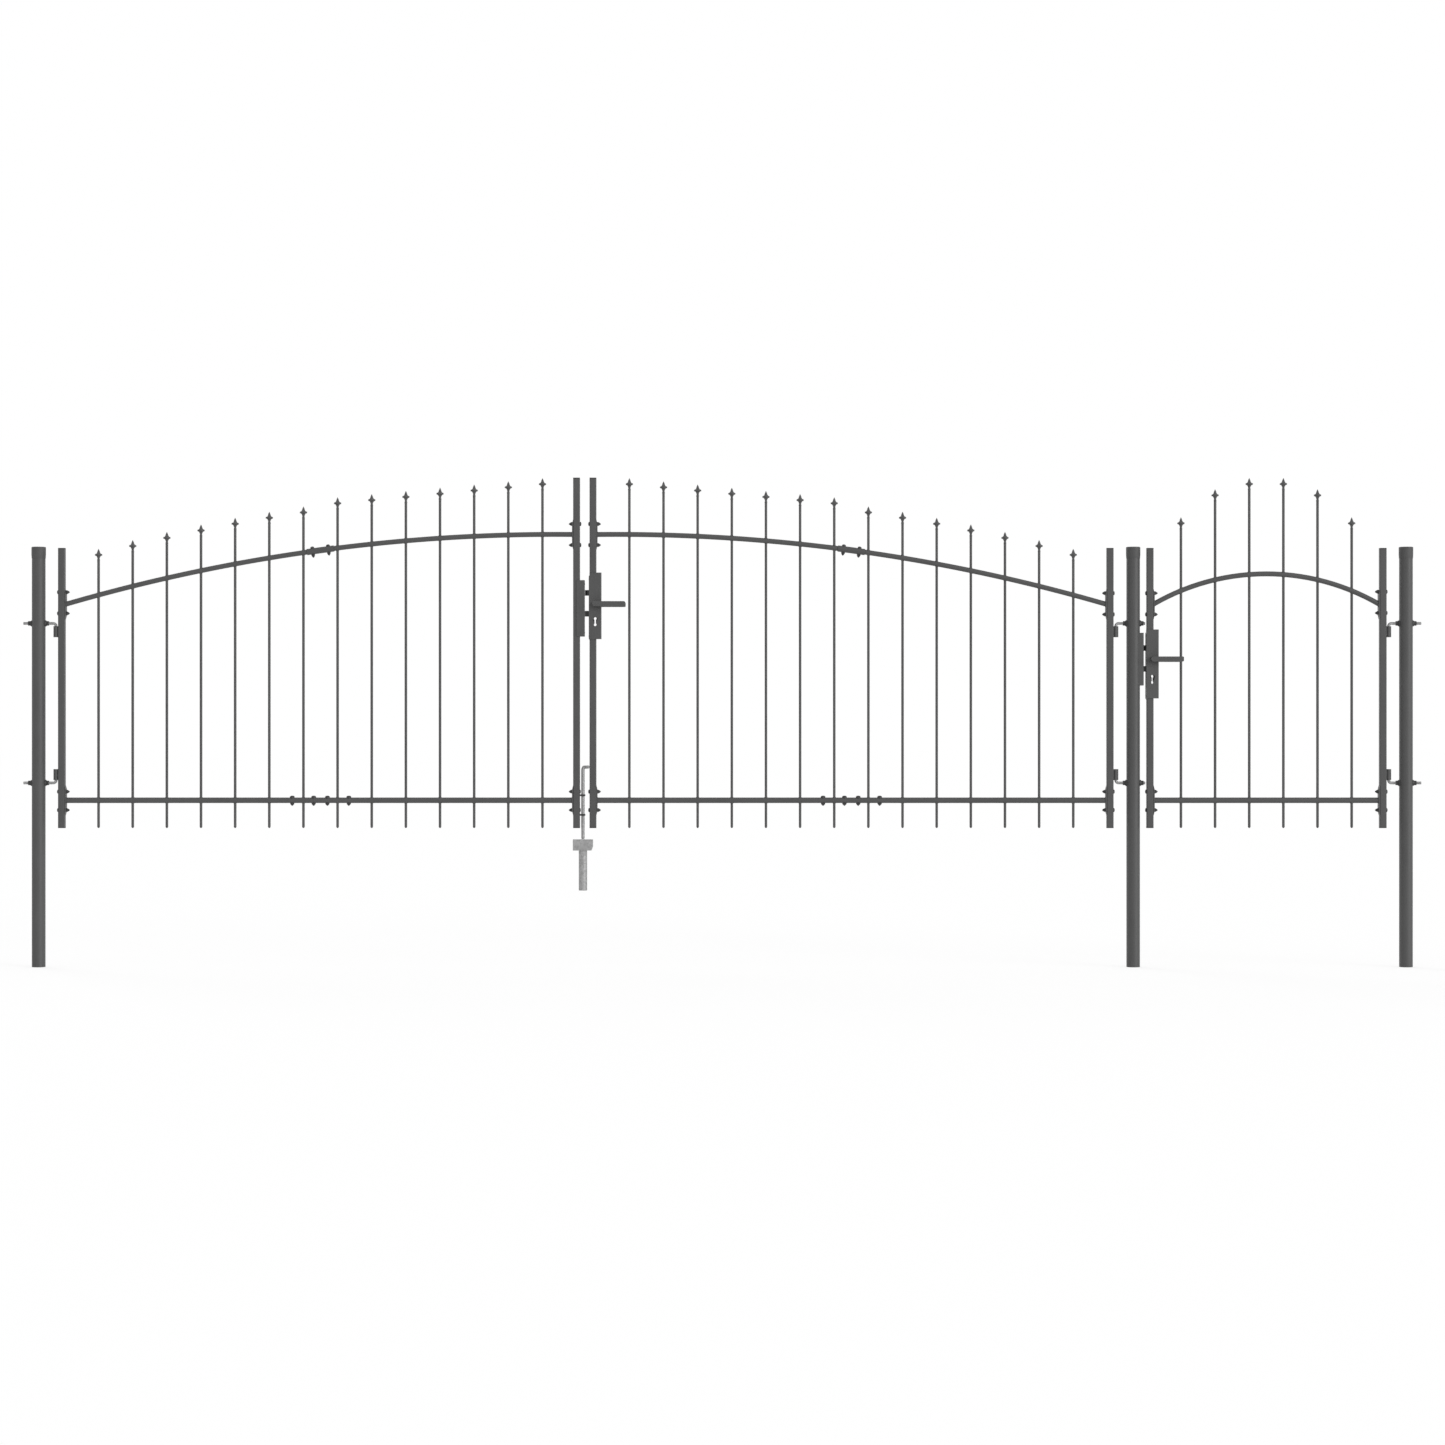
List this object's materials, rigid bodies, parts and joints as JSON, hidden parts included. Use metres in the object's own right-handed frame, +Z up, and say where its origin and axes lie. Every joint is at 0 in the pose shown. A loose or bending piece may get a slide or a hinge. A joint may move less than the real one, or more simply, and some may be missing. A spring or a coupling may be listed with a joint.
{
  "type": "double driveway gate with a matching side gate",
  "caption": "Arched spear-topped tubular steel double driveway gate and side gate on round posts, with hook hinges, lever locks and a drop bolt.",
  "frame": {"origin": "centre of the middle post's foot", "axes": "+X along the gate towards the side gate, +Y away from the viewer, +Z up"},
  "size_m": [4.9932, 0.0978, 1.747],
  "materials": {
    "coated_steel": "fine satin powder coat",
    "zinc_steel": "zinc plated",
    "black_plastic": "matt",
    "grey_plastic": "fine matt grain",
    "black_steel": "satin black"
  },
  "bodies": {
    "posts": {"left_post": "coated_steel", "middle_post": "coated_steel", "right_post": "coated_steel", "post_caps": "grey_plastic", "left_hinge_hooks": "zinc_steel", "middle_hinge_hooks": "zinc_steel", "right_hinge_hooks": "zinc_steel", "hinge_nuts": "black_steel", "side_keeper": "coated_steel", "ground_socket": "zinc_steel"},
    "left_leaf": {"left_hinge_stile": "coated_steel", "left_meeting_stile": "coated_steel", "left_outer_panel": "coated_steel", "left_inner_panel": "coated_steel", "left_arch_sleeve": "coated_steel", "left_end_plugs": "black_plastic", "driveway_keeper": "coated_steel", "drop_bolt_guides": "black_steel"},
    "drop_bolt": {"drop_bolt": "zinc_steel"},
    "right_leaf": {"right_hinge_stile": "coated_steel", "right_meeting_stile": "coated_steel", "right_outer_panel": "coated_steel", "right_inner_panel": "coated_steel", "right_arch_sleeve": "coated_steel", "right_end_plugs": "black_plastic", "driveway_lock_case": "coated_steel"},
    "driveway_lever": {"driveway_lever": "coated_steel"},
    "driveway_latch": {"driveway_latch": "black_steel"},
    "driveway_deadbolt": {"driveway_deadbolt": "black_steel"},
    "side_gate": {"side_hinge_stile": "coated_steel", "side_lock_stile": "coated_steel", "side_panel": "coated_steel", "side_end_plugs": "black_plastic", "side_lock_case": "coated_steel"},
    "side_lever": {"side_lever": "coated_steel"},
    "side_latch": {"side_latch": "black_steel"},
    "side_deadbolt": {"side_deadbolt": "black_steel"}
  },
  "joints": [
    {"name": "left_leaf_swing", "type": "hinge", "parent": "posts", "child": "left_leaf", "pos_m": [-3.8485, 0, 1.227], "axis": [0, 0, 1], "range_deg": [0, 90]},
    {"name": "right_leaf_swing", "type": "hinge", "parent": "posts", "child": "right_leaf", "pos_m": [-0.062, 0, 1.227], "axis": [0, 0, -1], "range_deg": [0, 90]},
    {"name": "side_gate_swing", "type": "hinge", "parent": "posts", "child": "side_gate", "pos_m": [0.9127, 0, 1.227], "axis": [0, 0, -1], "range_deg": [0, 90]},
    {"name": "drop_bolt_slide", "type": "slide", "parent": "left_leaf", "child": "drop_bolt", "axis": [0, 0, 1], "range_m": [-0.085, 0.06]},
    {"name": "driveway_lever_turn", "type": "hinge", "parent": "right_leaf", "child": "driveway_lever", "pos_m": [-1.922, 0, 1.296], "axis": [0, 1, 0], "range_deg": [0, 45], "stiffness_Nm_per_rad": 1.2, "springref_deg": -45.84},
    {"name": "driveway_latch_slide", "type": "slide", "parent": "right_leaf", "child": "driveway_latch", "axis": [1, 0, 0], "range_m": [-0.0005, 0.0145]},
    {"name": "driveway_deadbolt_slide", "type": "slide", "parent": "right_leaf", "child": "driveway_deadbolt", "axis": [1, 0, 0], "range_m": [-0.012, 0.014]},
    {"name": "side_lever_turn", "type": "hinge", "parent": "side_gate", "child": "side_lever", "pos_m": [0.0677, 0, 1.099], "axis": [0, 1, 0], "range_deg": [0, 45], "stiffness_Nm_per_rad": 1.2, "springref_deg": -45.84},
    {"name": "side_latch_slide", "type": "slide", "parent": "side_gate", "child": "side_latch", "axis": [1, 0, 0], "range_m": [-0.0005, 0.009]},
    {"name": "side_deadbolt_slide", "type": "slide", "parent": "side_gate", "child": "side_deadbolt", "axis": [1, 0, 0], "range_m": [-0.008, 0.009]}
  ],
  "couplings": [
    {"joint": "driveway_latch_slide", "follows": "driveway_lever_turn", "m_per_rad": 0.018},
    {"joint": "side_latch_slide", "follows": "side_lever_turn", "m_per_rad": 0.011}
  ]
}
